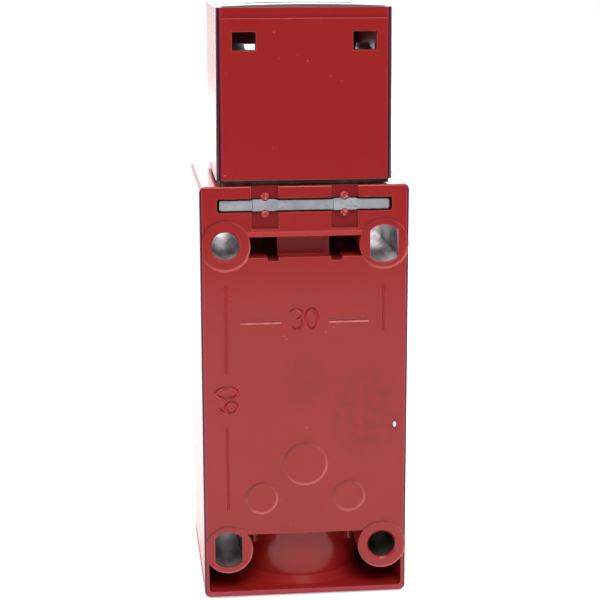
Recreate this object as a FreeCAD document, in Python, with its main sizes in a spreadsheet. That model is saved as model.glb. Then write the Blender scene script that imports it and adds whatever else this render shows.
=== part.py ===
"""Tongue interlock switch: a 30 x 60 mm fixing, die-cast body with a square turret head.

Frame: origin at the centre of the four fixing holes on the mounting plane, +Y out of the
mounting side, +Z towards the head.  Depths are measured from the mounting plane into the
switch, so a depth d lies at y = -d.
"""
import FreeCAD, Part
import math
import os
import re
import Sketcher
from FreeCAD import Placement, Rotation, Vector

SIZES = {
    # die-cast body
    "body_width": 39.5, "body_top": 41.25, "body_bottom": 39.75, "body_depth": 36.0,
    "body_draft": 0.4, "body_corner": 1.1, "rear_round": 0.35,
    "web_recess": 0.25, "web": 2.5,
    # fixing holes: two round, two elongated
    "fix_across": 15.0, "fix_up": 30.0, "fix_radius": 2.65, "fix_long_radius": 3.65,
    "fix_ring": 4.7, "fix_chamfer": 0.35,
    # contact chamber
    "chamber_half": 17.5, "chamber_top": 22.0, "chamber_bottom": 22.3, "chamber_corner": 2.0,
    # pockets of the mounting side
    "opening_half": 18.87, "opening_top": 27.0, "opening_floor": 38.65, "opening_depth": 27.0,
    "opening_corner": 0.7,
    "window_half": 11.2, "window_low": 27.7, "window_high": 31.7, "notch_low": 27.0,
    "pad_half": 4.95, "notch_half": 7.1, "pad_deep": 3.5, "notch_deep": 14.0, "window_deep": 12.0,
    "window_lip": 0.85, "lip_proud": 0.15,
    "channel_half": 10.1, "channel_low": 33.05, "channel_recess": 0.9,
    "stake_across": 7.5, "stake_high": 39.2, "stake_low": 36.05, "stake_radius": 0.75,
    "stake_edge": 0.25,
    "mark_big": 4.15, "mark_small": 3.0, "mark_big_down": 13.0, "mark_small_down": 19.7,
    "mark_small_across": 8.5, "mark_proud": 0.2,
    # cable entry
    "entry_depth": 16.0, "entry_boss": 12.0, "entry_radius": 9.19, "entry_length": 11.0,
    "entry_inner": 8.2, "entry_face": 12.3, "entry_foot": 13.2,
    "rib_across": 9.5, "rib_in": 8.1, "rib_radius": 0.6, "rib_end": 31.2,
    # turret seat and retaining fork
    "turret_depth": 16.8, "seat_bore": 10.0, "seat_floor": 33.5, "plunger_way": 3.6,
    "seat_pad": 15.3, "seat_rise": 0.2,
    "fork_slot_low": 36.3, "fork_slot_high": 38.9, "fork_slot_half": 16.45, "fork_slot_deep": 31.5,
    "fork_low": 36.6, "fork_high": 38.5, "fork_half": 16.0, "fork_inner": 8.6,
    "fork_rear": 0.75, "fork_bridge": 4.0, "fork_length": 30.1,
    "fork_corner": 0.4, "tile_inner": 5.45, "tile_outer": 9.75, "tile_proud": 0.4,
    "tile_low": 36.55, "tile_high": 38.7,
    # front cover
    "cover_depth": 8.0, "cover_wall": 2.0, "cover_notch": 5.3, "cover_notch_corner": 5.0,
    "cover_round": 1.2, "cover_hollow_half": 17.2, "cover_hollow_high": 21.5,
    "gasket_gap": 0.35, "gasket_width": 1.2, "gasket_thick": 1.2, "gasket_corner": 2.4,
    "cover_screw_across": 5.8, "cover_screw_up": 31.5, "cover_screw_down": 34.0,
    "cover_screw_radius": 2.0, "cover_head_radius": 3.3, "cover_head_high": 2.4,
    "cover_seat": 40.4, "washer": 0.6, "cover_screw_in": 7.5,
    # turret head
    "head_base": 42.3, "head_high": 31.7, "head_half": 16.5, "head_corner": 1.1,
    "head_draft": 0.36, "panel_proud": 0.3, "panel_inset": 1.1, "panel_down": 2.0,
    "head_inner": 13.9, "head_roof": 3.0,
    "tongue_half": 10.4, "tongue_gap": 5.2, "tongue_offset": 5.6,
    "peep_inner": 8.95, "peep_outer": 13.35, "peep_down": 7.8, "peep_tall": 3.4,
    "pillar_at": 11.2, "pillar": 3.0, "pillar_high": 7.0, "pillar_bore": 1.3,
    # guide plate of the tongue
    "plate_half": 15.1, "plate_thick": 0.8, "plate_sunk": 0.6, "plate_bow": 0.35,
    "plate_lip": 1.0, "foot_up": 4.0, "plate_gap": 0.1,
    "rivet_across": 12.5, "rivet_rise": 7.0, "rivet_head": 1.7, "rivet_proud": 0.6,
    "rivet_shank": 0.9,
    # neck of the turret
    "flange_half": 13.8, "flange_thick": 2.4, "spigot": 9.8, "spigot_end": 33.8,
    "groove_radius": 8.3, "groove_low": 36.2, "groove_high": 38.65,
    "ring_groove": 8.4, "ring_low": 39.4, "ring_high": 41.0, "ring_wire": 0.72,
    "spring_well": 5.2, "bush_radius": 4.5, "bush_top": 36.5, "plunger_bore": 3.05,
    "neck_screw": 1.2, "neck_head": 2.3, "neck_head_high": 1.15, "neck_screw_length": 8.2,
    "seal_half": 15.8, "seal_thick": 0.75, "seal_hole": 10.2,
    # rotor
    "rotor_up": 57.5, "rotor_radius": 9.5, "rotor_half": 5.7, "disc_thick": 1.4,
    "disc_radius": 9.0, "pin_radius": 2.0, "pin_half": 15.0, "pin_fit": 0.04,
    "notch_reach": 3.6, "notch_shoulder": 0.8, "relief_lead": 4.0, "relief_end": 41.0,
    "relief_stop": 77.0, "lift": 3.0, "turn": 45.0,
    # plunger
    "plunger_radius": 3.0, "plunger_foot": 21.0, "plunger_gap": 0.1, "nose": 1.6,
    "collar": 4.4, "collar_high": 47.0, "collar_thick": 0.8,
    "spring_mean": 3.9, "spring_wire": 0.35, "spring_turns": 5.0,
    # locking levers behind the windows of the head
    "lever_inner": 10.6, "lever_thick": 2.5, "lever_behind": 11.0, "lever_rise": 6.4,
    "knuckle": 2.5, "lever_pin": 1.2, "lever_arm": 9.9, "lever_lean": 2.6, "arm_half": 1.2,
    "finger_out": 3.4, "finger_rise": 2.6, "lever_spring_drop": 5.2, "lever_spring_mean": 0.9,
    "lever_spring_wire": 0.18,
    # contact block
    "block_half": 14.5, "block_top": 19.5, "block_bottom": 16.3, "block_rear": 4.0,
    "block_depth": 23.0, "lid_half": 10.4, "lid_thick": 1.4, "cage_half": 4.2, "cage_top": 17.5,
    "cage_bottom": 15.0, "cage_depth": 10.0,
    "carrier_half": 4.1, "carrier_top": 17.0, "carrier_bottom": 11.0, "carrier_slack": 0.1,
    "tip_radius": 2.6, "pole_first": 10.0, "pole_pitch": 8.5,
    "bridge_half": 9.6, "bridge_thick": 0.8, "bridge_deep": 4.0,
    "strip_gap": 3.1, "strip_thick": 0.8, "strip_inner": 6.8, "strip_outer": 14.2,
    "terminal_inner": 10.9, "terminal_face": 23.6, "terminal_screw": 1.0, "terminal_head": 1.55,
    "terminal_head_high": 1.6, "clamp_half": 1.6, "clamp_thick": 0.8, "terminal_drop": 1.3,
    "block_screw_across": 12.4, "block_screw_high": 17.2, "block_screw_low": 13.9,
    "block_screw": 1.5, "block_screw_head": 2.1, "block_screw_seat": 24.0, "block_stand": 3.0,
    "earth_across": 13.0, "earth_down": 19.6, "earth_front": 12.0, "earth_boss": 3.0,
    "earth_screw": 1.5, "earth_head": 2.4, "earth_washer": 2.6,
    # shared clearances
    "slide_fit": 0.05, "loose": 0.2, "past": 1.0,
}

# Places of the head that follow from its sizes
PLACES = {
    "head_top": "head_base + head_high",
    "head_rear": "turret_depth - head_half + panel_proud",
    "panel_high": "head_top - panel_down",
    "head_ceiling": "head_top - head_roof",
    "peep_low": "head_top - peep_down",
    "peep_high": "peep_low + peep_tall",
    "plate_seat": "head_top - plate_sunk",
    "plate_rear": "head_rear + plate_lip",
    "plate_foot": "head_base + foot_up",
    "rivet_up": "head_base + rivet_rise",
    "lever_depth": "turret_depth - lever_behind",
    "lever_up": "rotor_up + lever_rise",
}

XY, XZ, YZ = "XY_Plane", "XZ_Plane", "YZ_Plane"
SIDES = (-1, 1)
POLES = (0, 1, 2)

doc = FreeCAD.newDocument("tongue_interlock_switch")
sheet = doc.addObject("Spreadsheet::Sheet", "Sizes")
for row, (alias, number) in enumerate(SIZES.items(), start=1):
    sheet.set(f"A{row}", alias.replace("_", " "))
    sheet.set(f"B{row}", str(number))
    sheet.setAlias(f"B{row}", alias)
doc.recompute()

nodes = []
shaping = []


# ---------------------------------------------------------------- expressions

def bound(text):
    """An expression in which places are worked out and every size is read from the sheet."""
    def read(found):
        word = found[0]
        if word in PLACES:
            return f"({bound(PLACES[word])})"
        return f"Sizes.{word}" if word in SIZES else word
    return re.sub(r"[a-z]+(?:_[a-z]+)*", read, str(text))


def value(text):
    """The number that an expression gives now."""
    return float(sheet.evalExpression(bound(text)))


def bind(thing, prop, text):
    thing.setExpression(prop, bound(text))


def place(thing, across, depth, up):
    """Ties the placement of a solid to expressions."""
    for axis, text in (("x", across), ("y", f"-({depth})"), ("z", up)):
        bind(thing, f"Placement.Base.{axis}", text)
    return thing


def keep(thing, label):
    """Names a finished sub-part."""
    thing.Label = label
    nodes.append(thing)
    return thing


# ---------------------------------------------------------------- sketches

def pin_point(sketch, geo, point, across, up):
    """Ties a vertex of a sketch to signed distances from the sketch's origin."""
    for kind, text in (("DistanceX", across), ("DistanceY", up)):
        number = value(text)
        if number < 0:
            rule = Sketcher.Constraint(kind, geo, point, -1, 1, -number)
            text = f"-({text})"
        else:
            rule = Sketcher.Constraint(kind, -1, 1, geo, point, number)
        index = sketch.addConstraint(rule)
        sketch.setExpression(f"Constraints[{index}]", bound(text))


def tie_radius(sketch, geo, radius):
    index = sketch.addConstraint(Sketcher.Constraint("Radius", geo, value(radius)))
    sketch.setExpression(f"Constraints[{index}]", bound(radius))


def circle(across, up, radius):
    def draw(sketch):
        centre = Vector(value(across), value(up), 0)
        geo = sketch.addGeometry(Part.Circle(centre, Vector(0, 0, 1), value(radius)))
        pin_point(sketch, geo, 3, across, up)
        tie_radius(sketch, geo, radius)
    return draw


def outline(*points):
    """A closed outline of straight lines through points given as pairs of expressions."""
    def draw(sketch):
        spots = [Vector(value(a), value(b), 0) for a, b in points]
        ends = spots[1:] + spots[:1]
        geos = [sketch.addGeometry(Part.LineSegment(p, q)) for p, q in zip(spots, ends)]
        for geo, after in zip(geos, geos[1:] + geos[:1]):
            sketch.addConstraint(Sketcher.Constraint("Coincident", geo, 2, after, 1))
        for geo, (a, b) in zip(geos, points):
            pin_point(sketch, geo, 1, a, b)
    return draw


def oblong(left, right, low, high):
    return outline((left, low), (right, low), (right, high), (left, high))


def round_oblong(left, right, low, high, radius):
    """A rectangle with four tangent corner arcs of one radius."""
    def draw(sketch):
        a, b, c, d, r = (value(t) for t in (left, right, low, high, radius))
        lines = [((a + r, c), (b - r, c)), ((b, c + r), (b, d - r)),
                 ((b - r, d), (a + r, d)), ((a, d - r), (a, c + r))]
        centres = [(b - r, c + r), (b - r, d - r), (a + r, d - r), (a + r, c + r)]
        sides = [sketch.addGeometry(Part.LineSegment(Vector(*p, 0), Vector(*q, 0)))
                 for p, q in lines]
        corners = []
        for quarter, centre in enumerate(centres):
            start = math.pi / 2 * (quarter - 1)
            whole = Part.Circle(Vector(*centre, 0), Vector(0, 0, 1), r)
            arc = Part.ArcOfCircle(whole, start, start + math.pi / 2)
            corners.append(sketch.addGeometry(arc))
        for side, corner, after in zip(sides, corners, sides[1:] + sides[:1]):
            sketch.addConstraint(Sketcher.Constraint("Tangent", side, 2, corner, 1))
            sketch.addConstraint(Sketcher.Constraint("Tangent", corner, 2, after, 1))
        for corner in corners[1:]:
            sketch.addConstraint(Sketcher.Constraint("Equal", corners[0], corner))
        tie_radius(sketch, corners[0], radius)
        pin_point(sketch, sides[0], 1, f"({left}) + ({radius})", low)
        pin_point(sketch, sides[2], 1, f"({right}) - ({radius})", high)
    return draw


def flatted_circle(across, up, radius, flat):
    """An elongated hole: a circle cut off by two upright flats."""
    def draw(sketch):
        x, z, r, half = (value(t) for t in (across, up, radius, flat))
        rise = math.sqrt(r * r - half * half)
        angle = math.acos(half / r)
        whole = Part.Circle(Vector(x, z, 0), Vector(0, 0, 1), r)
        upper = sketch.addGeometry(Part.ArcOfCircle(whole, angle, math.pi - angle))
        lower = sketch.addGeometry(Part.ArcOfCircle(whole, math.pi + angle, -angle))
        left = sketch.addGeometry(Part.LineSegment(Vector(x - half, z + rise, 0),
                                                   Vector(x - half, z - rise, 0)))
        right = sketch.addGeometry(Part.LineSegment(Vector(x + half, z - rise, 0),
                                                    Vector(x + half, z + rise, 0)))
        for first, end, second, start in ((upper, 2, left, 1), (left, 2, lower, 1),
                                          (lower, 2, right, 1), (right, 2, upper, 1),
                                          (upper, 3, lower, 3)):
            sketch.addConstraint(Sketcher.Constraint("Coincident", first, end, second, start))
        for line in (left, right):
            sketch.addConstraint(Sketcher.Constraint("Vertical", line))
        tie_radius(sketch, upper, radius)
        pin_point(sketch, upper, 3, across, up)
        for line, sign in ((left, "-"), (right, "+")):
            text = f"{across} {sign} {flat}"
            number = value(text)
            pair = (line, 1, -1, 1) if number < 0 else (-1, 1, line, 1)
            rule = Sketcher.Constraint("DistanceX", *pair, abs(number))
            index = sketch.addConstraint(rule)
            sketch.setExpression(f"Constraints[{index}]", bound(f"abs({text})"))
    return draw


# ---------------------------------------------------------------- PartDesign bodies

def new_body(label):
    return doc.addObject("PartDesign::Body", f"{label}_body")


def new_sketch(body, name, plane, offset, drawings):
    """A sketch on one of the body's own origin planes, moved along the plane's normal."""
    sketch = body.newObject("Sketcher::SketchObject", f"{body.Name}_{name}_sketch")
    support = next(f for f in body.Origin.OriginFeatures if f.Role == plane)
    sketch.AttachmentSupport = (support, [""])
    sketch.MapMode = "FlatFace"
    bind(sketch, "AttachmentOffset.Base.z", offset)
    for draw in drawings:
        draw(sketch)
    return sketch


def add(body, name, plane, offset, length, *drawings, taper=None):
    """Pads the drawings from the offset along the plane's normal."""
    sketch = new_sketch(body, name, plane, offset, drawings)
    pad = body.newObject("PartDesign::Pad", f"{body.Name}_{name}")
    pad.Profile = sketch
    bind(pad, "Length", length)
    if taper:
        bind(pad, "TaperAngle", taper)
    shaping.append((pad, 1))
    return pad


def cut(body, name, plane, offset, length, *drawings, back=False):
    """Pockets the drawings from the offset along the plane's normal, or back against it."""
    sketch = new_sketch(body, name, plane, offset, drawings)
    pocket = body.newObject("PartDesign::Pocket", f"{body.Name}_{name}")
    pocket.Profile = sketch
    pocket.Reversed = not back
    bind(pocket, "Length", length)
    shaping.append((pocket, -1))
    return pocket


def loft(body, name, plane, *sections):
    """Joins outlines that lie at different offsets by ruled flanks."""
    sketches = [new_sketch(body, f"{name}_{index}", plane, offset, [drawing])
                for index, (offset, drawing) in enumerate(sections)]
    lofted = body.newObject("PartDesign::AdditiveLoft", f"{body.Name}_{name}")
    lofted.Profile = sketches[0]
    lofted.Sections = sketches[1:]
    lofted.Ruled = True
    shaping.append((lofted, 1))
    return lofted


def turn(body, name, plane, offset, *drawings):
    """Revolves the drawings about the sketch's upright axis."""
    sketch = new_sketch(body, name, plane, offset, drawings)
    revolved = body.newObject("PartDesign::Revolution", f"{body.Name}_{name}")
    revolved.Profile = sketch
    revolved.ReferenceAxis = (sketch, ["V_Axis"])
    revolved.Angle = 360
    shaping.append((revolved, 1))
    return revolved


def dress(body, kind, name, size, chosen):
    """Rounds or chamfers every edge of the body that the test picks."""
    doc.recompute()
    base = body.Tip
    edges = [f"Edge{i}" for i, edge in enumerate(base.Shape.Edges, start=1) if chosen(edge)]
    if not edges:
        raise RuntimeError(f"{body.Name} has no edge for {name}")
    feature = body.newObject(f"PartDesign::{kind}", f"{body.Name}_{name}")
    feature.Base = (base, edges)
    bind(feature, "Radius" if kind == "Fillet" else "Size", size)
    body.Tip = feature
    return feature


def at_depth(text):
    """A test for edges that lie wholly in one plane across the depth."""
    def test(edge):
        box = edge.BoundBox
        y = -value(text)
        return abs(box.YMin - y) < 1e-4 and abs(box.YMax - y) < 1e-4
    return test


# ---------------------------------------------------------------- Part solids

def block(name, across, depth, up):
    """A box between pairs of expressions."""
    box = doc.addObject("Part::Box", name)
    for prop, (low, high) in (("Length", across), ("Width", depth), ("Height", up)):
        bind(box, prop, f"({high}) - ({low})")
    return place(box, across[0], depth[1], up[0])


DIRECTIONS = {
    "across": Rotation(Vector(0, 0, 1), Vector(1, 0, 0)),
    "deep": Rotation(Vector(0, 0, 1), Vector(0, -1, 0)),
    "up": Rotation(),
}


def rod(name, way, start, radius, length, far_radius=None):
    """A cylinder, or a cone where a far radius is given, from a start point along a direction."""
    thing = doc.addObject("Part::Cone" if far_radius else "Part::Cylinder", name)
    if far_radius:
        bind(thing, "Radius1", radius)
        bind(thing, "Radius2", far_radius)
    else:
        bind(thing, "Radius", radius)
    bind(thing, "Height", length)
    thing.Placement = Placement(Vector(), DIRECTIONS[way])
    return place(thing, *start)


def join(name, *pieces):
    fused = doc.addObject("Part::MultiFuse", name)
    fused.Shapes = list(pieces)
    fused.Refine = True
    return fused


def carve(name, base, *tools):
    whole = doc.addObject("Part::Cut", name)
    whole.Base = base
    whole.Tool = tools[0] if len(tools) == 1 else join(f"{name}_tools", *tools)
    return whole


def group(name, pieces):
    """Separate solids that share one node."""
    bundle = doc.addObject("Part::Compound", name)
    bundle.Links = list(pieces)
    return bundle


def coil(mean, wire, height, turns):
    """A compression spring along +Z, of wire with six flats, from the wire's centre line."""
    helix = Part.makeHelix(height / turns, height, mean)
    angles = [math.pi / 3 * step for step in range(7)]
    section = Part.makePolygon([Vector(mean + wire * math.cos(a), 0, wire * math.sin(a))
                                for a in angles])
    return Part.Wire(helix.Edges).makePipeShell([section], True, True)


def shaped(name, shape, spot=None):
    """A feature that holds a shape worked out from the sheet's sizes."""
    feature = doc.addObject("Part::Feature", name)
    feature.Shape = shape
    if spot:
        feature.Placement = spot
    return feature


# ---------------------------------------------------------------- body of the switch

FLARE = "(body_depth - web_recess)*tan(body_draft)"
STAKE_REAR = "web_recess + channel_recess - stake_radius"


def body_outline(grow):
    """The body seen from behind; it grows with the draft on all sides but the turret's seat."""
    return round_oblong(f"-body_width/2 - {grow}", f"body_width/2 + {grow}",
                        f"-body_bottom - {grow}", "body_top", "body_corner")


def make_housing():
    body = new_body("housing")
    loft(body, "shell", XZ, ("web_recess", body_outline("0")), ("body_depth", body_outline(FLARE)))
    dress(body, "Fillet", "rear_edge", "rear_round", at_depth("web_recess"))
    cut(body, "lower_pocket", XZ, "0", "opening_depth",
        round_oblong("-opening_half", "opening_half", "-opening_floor", "-opening_top",
                     "opening_corner"))
    for side in SIDES:
        name = "left" if side < 0 else "right"
        low, high = (("-window_half", "-notch_half") if side < 0
                     else ("notch_half", "window_half"))
        cut(body, f"window_{name}", XZ, "0", "window_deep",
            oblong(low, high, "window_low", "window_high"))
        low, high = (("-notch_half", "-pad_half") if side < 0
                     else ("pad_half", "notch_half"))
        cut(body, f"notch_{name}", XZ, "0", "notch_deep",
            oblong(low, high, "notch_low", "window_high"))
    cut(body, "window_pad", XZ, "0", "pad_deep",
        oblong("-pad_half", "pad_half", "window_low", "window_high"))
    add(body, "window_lip", XZ, "web_recess - lip_proud", "2*lip_proud",
        oblong("-window_half", "window_half", "window_high", "window_high + window_lip"))
    add(body, "entry_boss", XY, "-body_bottom + cover_wall/4", "body_bottom - chamber_bottom - past",
        circle("0", "-entry_depth", "entry_boss"))
    add(body, "boss_foot", XY, "-opening_floor", "entry_foot - entry_boss",
        circle("0", "-entry_depth", "entry_foot"), taper="-45")
    add(body, "boss_ribs", XY, "-rib_end", "rib_end - opening_top + past",
        *[circle(f"{side}*rib_across", "-rib_in", "rib_radius") for side in SIDES])
    add(body, "fixing_columns", XZ, "0", "body_depth",
        *[circle(f"{a}*fix_across", f"{b}*fix_up", "fix_ring") for a in SIDES for b in SIDES])
    cut(body, "chamber", XZ, "web_recess + web", "body_depth",
        round_oblong("-chamber_half", "chamber_half", "-chamber_bottom", "chamber_top",
                     "chamber_corner"))
    add(body, "block_stands", XZ, "web_recess + web/2", "block_rear - web_recess - web/2",
        *[circle(f"{side}*block_screw_across", spot, "block_stand")
          for side in SIDES for spot in ("block_screw_high", "-block_screw_low")])
    add(body, "earth_stand", XZ, "web_recess + web/2", "earth_front - web_recess - web/2",
        oblong("-earth_across - earth_boss", "-earth_across + earth_boss",
               "-chamber_bottom - past", "-earth_down + earth_boss"))
    add(body, "turret_pad", XY, "body_top - seat_rise", "2*seat_rise",
        round_oblong("-seat_pad", "seat_pad", "-turret_depth - seat_pad",
                     "-turret_depth + seat_pad", "head_corner"))
    cut(body, "turret_seat", XY, "seat_floor", "body_top", circle("0", "-turret_depth", "seat_bore"))
    cut(body, "plunger_way", XY, "chamber_top - past", "seat_floor - chamber_top + 2*past",
        circle("0", "-turret_depth", "plunger_way"))
    cut(body, "fork_slot", XZ, "0", "fork_slot_deep",
        round_oblong("-fork_slot_half", "fork_slot_half", "fork_slot_low", "fork_slot_high",
                     "opening_corner/2"))
    for side in SIDES:
        low, high = (("-channel_half", "-pad_half") if side < 0
                     else ("pad_half", "channel_half"))
        cut(body, f"channel_{'left' if side < 0 else 'right'}", XZ, "0",
            "web_recess + channel_recess", oblong(low, high, "channel_low", "body_top + past"))
    add(body, "stakes", XZ, STAKE_REAR, "3*stake_radius",
        *[circle(f"{side}*stake_across", spot, "stake_radius")
          for side in SIDES for spot in ("stake_high", "stake_low")])
    dress(body, "Chamfer", "stake_edges", "stake_edge",
          lambda edge: at_depth(STAKE_REAR)(edge) and hasattr(edge.Curve, "Radius")
          and abs(edge.Curve.Radius - value("stake_radius")) < 1e-4)
    add(body, "marks", XZ, "web_recess - mark_proud", "2*mark_proud",
        circle("0", "-mark_big_down", "mark_big"),
        *[circle(f"{side}*mark_small_across", "-mark_small_down", "mark_small")
          for side in SIDES])
    cut(body, "round_holes", XZ, "-past", "body_depth + 2*past",
        *[circle(f"{side}*fix_across", f"{side}*fix_up", "fix_radius") for side in SIDES])
    cut(body, "long_holes", XZ, "-past", "body_depth + 2*past",
        *[flatted_circle(f"{side}*fix_across", f"{-side}*fix_up", "fix_long_radius",
                         "fix_radius") for side in SIDES])
    cut(body, "entry_thread", XY, "-body_bottom - past", "entry_length + past",
        circle("0", "-entry_depth", "entry_radius"))
    cut(body, "entry_way", XY, "-body_bottom", "body_bottom - chamber_bottom + past",
        circle("0", "-entry_depth", "entry_inner"))
    cut(body, "entry_face", XY, "-body_bottom", "past",
        circle("0", "-entry_depth", "entry_face"), back=True)
    cut(body, "cover_threads", XZ, "body_depth - cover_screw_in", "cover_screw_in + past",
        *[circle(f"{side}*cover_screw_across", "cover_screw_up", "cover_screw_radius + slide_fit")
          for side in SIDES],
        circle("0", "-cover_screw_down", "cover_screw_radius + slide_fit"))
    cut(body, "block_threads", XZ, "web_recess + web/2", "block_rear",
        circle("-block_screw_across", "block_screw_high", "block_screw + slide_fit"),
        circle("block_screw_across", "-block_screw_low", "block_screw + slide_fit"))
    cut(body, "earth_thread", XZ, "earth_front/2", "earth_front",
        circle("-earth_across", "-earth_down", "earth_screw + slide_fit"))
    dress(body, "Chamfer", "hole_mouths", "fix_chamfer",
          lambda edge: at_depth("0")(edge) and hasattr(edge.Curve, "Radius")
          and abs(edge.Curve.Radius - value("fix_radius")) < 1e-4)
    return keep(body, "housing")


def make_retaining_fork():
    body = new_body("retaining_fork")
    rear, heel, tip = "-fork_rear", "-fork_rear - fork_bridge", "-fork_rear - fork_length"
    add(body, "fork", XY, "fork_low", "fork_high - fork_low",
        outline(("-fork_half", rear), ("fork_half", rear), ("fork_half", tip),
                ("fork_inner", tip), ("fork_inner", heel), ("-fork_inner", heel),
                ("-fork_inner", tip), ("-fork_half", tip)))
    add(body, "tiles", XZ, "fork_rear - tile_proud", "tile_proud + fork_bridge/4",
        oblong("-tile_outer", "-tile_inner", "tile_low", "tile_high"),
        oblong("tile_inner", "tile_outer", "tile_low", "tile_high"))
    cut(body, "stake_hollows", XZ, "0", f"{STAKE_REAR} + 3*stake_radius + loose",
        *[circle(f"{side}*stake_across", spot, "stake_radius + slide_fit")
          for side in SIDES for spot in ("stake_high", "stake_low")])
    dress(body, "Fillet", "bar_corners", "fork_corner",
          lambda edge: edge.BoundBox.XLength < 1e-4 and edge.BoundBox.ZLength < 1e-4
          and abs(abs(edge.BoundBox.XMin) - value("fork_half")) < 1e-4)
    return keep(body, "retaining_fork")


# ---------------------------------------------------------------- contact block

CAGE_REAR = "turret_depth - cage_depth/2"
BRIDGE_REAR = "turret_depth - bridge_deep/2"
BRIDGE_FRONT = "turret_depth + bridge_deep/2"
BLOCK_FRONT = "block_rear + block_depth"


def pole_up(pole):
    """Height of the underside of a contact bridge at rest."""
    return f"pole_first - {pole}*pole_pitch"


def terminal_up(pole):
    """Height of a terminal screw's axis."""
    return (f"{pole_up(pole)} + bridge_thick + strip_gap - terminal_drop")


def make_contact_block():
    body = new_body("contact_block_case")
    add(body, "case", XZ, "block_rear", "block_depth",
        round_oblong("-block_half", "block_half", "-block_bottom", "block_top", "past"))
    cut(body, "cage", XZ, CAGE_REAR, "block_depth",
        oblong("-cage_half", "cage_half", "-cage_bottom", "cage_top"))
    cut(body, "tip_way", XY, "cage_top - past", "block_top - cage_top + 2*past",
        circle("0", "-turret_depth", "tip_radius + loose"))
    for pole in POLES:
        base = pole_up(pole)
        cut(body, f"bridge_way_{pole}", XZ, f"{BRIDGE_REAR} - loose", "block_depth",
            oblong("-bridge_half - 2*loose", "bridge_half + 2*loose", f"{base} - 2*loose",
                   f"{base} + bridge_thick + strip_gap + strip_thick + loose"))
        for side in SIDES:
            low, high = (("-block_half - past", "-terminal_inner + loose") if side < 0
                         else ("terminal_inner - loose", "block_half + past"))
            cut(body, f"terminal_{pole}_{'left' if side < 0 else 'right'}", XZ,
                f"{BRIDGE_REAR} - loose", "block_depth",
                oblong(low, high, f"{terminal_up(pole)} - clamp_half - loose",
                       f"{base} + bridge_thick + strip_gap + strip_thick + loose"))
            low, high = (("-terminal_inner", "-bridge_half") if side < 0
                         else ("bridge_half", "terminal_inner"))
            cut(body, f"slit_{pole}_{'left' if side < 0 else 'right'}", XZ,
                f"{BRIDGE_REAR} - loose", "block_depth",
                oblong(low, high, f"{base} + bridge_thick + strip_gap - slide_fit",
                       f"{base} + bridge_thick + strip_gap + strip_thick + slide_fit"))
    cut(body, "lid_seat", XZ, f"{BLOCK_FRONT} - lid_thick", "block_depth",
        oblong("-lid_half", "lid_half", "-block_bottom - past", "block_top + past"))
    for across, up, name in (("-block_screw_across", "block_screw_high", "high"),
                             ("block_screw_across", "-block_screw_low", "low")):
        cut(body, f"screw_way_{name}", XZ, "block_rear - past", "block_depth + 2*past",
            circle(across, up, "block_screw + 2*slide_fit"))
        cut(body, f"screw_seat_{name}", XZ, "block_screw_seat", "block_depth",
            circle(across, up, "block_screw_head + loose"))
    keep(body, "contact_block_case")

    lid = new_body("contact_block_cover")
    add(lid, "plate", XZ, f"{BLOCK_FRONT} - lid_thick", "lid_thick",
        oblong("-lid_half + slide_fit", "lid_half - slide_fit", "-block_bottom", "block_top"))
    keep(lid, "contact_block_cover")


def make_carrier():
    body = new_body("contact_carrier")
    add(body, "slide", XZ, f"{CAGE_REAR} + carrier_slack", "cage_depth - 2*carrier_slack",
        oblong("-carrier_half", "carrier_half", "-carrier_bottom", "carrier_top - lift"))
    add(body, "tip", XY, "carrier_top - lift - past", "plunger_foot - carrier_top + lift + past",
        circle("0", "-turret_depth", "tip_radius"))
    for pole in POLES:
        base = pole_up(pole)
        cut(body, f"window_{pole}", YZ, "-carrier_half - past", "2*carrier_half + 2*past",
            oblong(f"-({BRIDGE_FRONT}) - loose", f"-({BRIDGE_REAR}) + loose",
                   f"{base} - lift", f"{base} + bridge_thick"))
    return keep(body, "contact_carrier")


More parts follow.
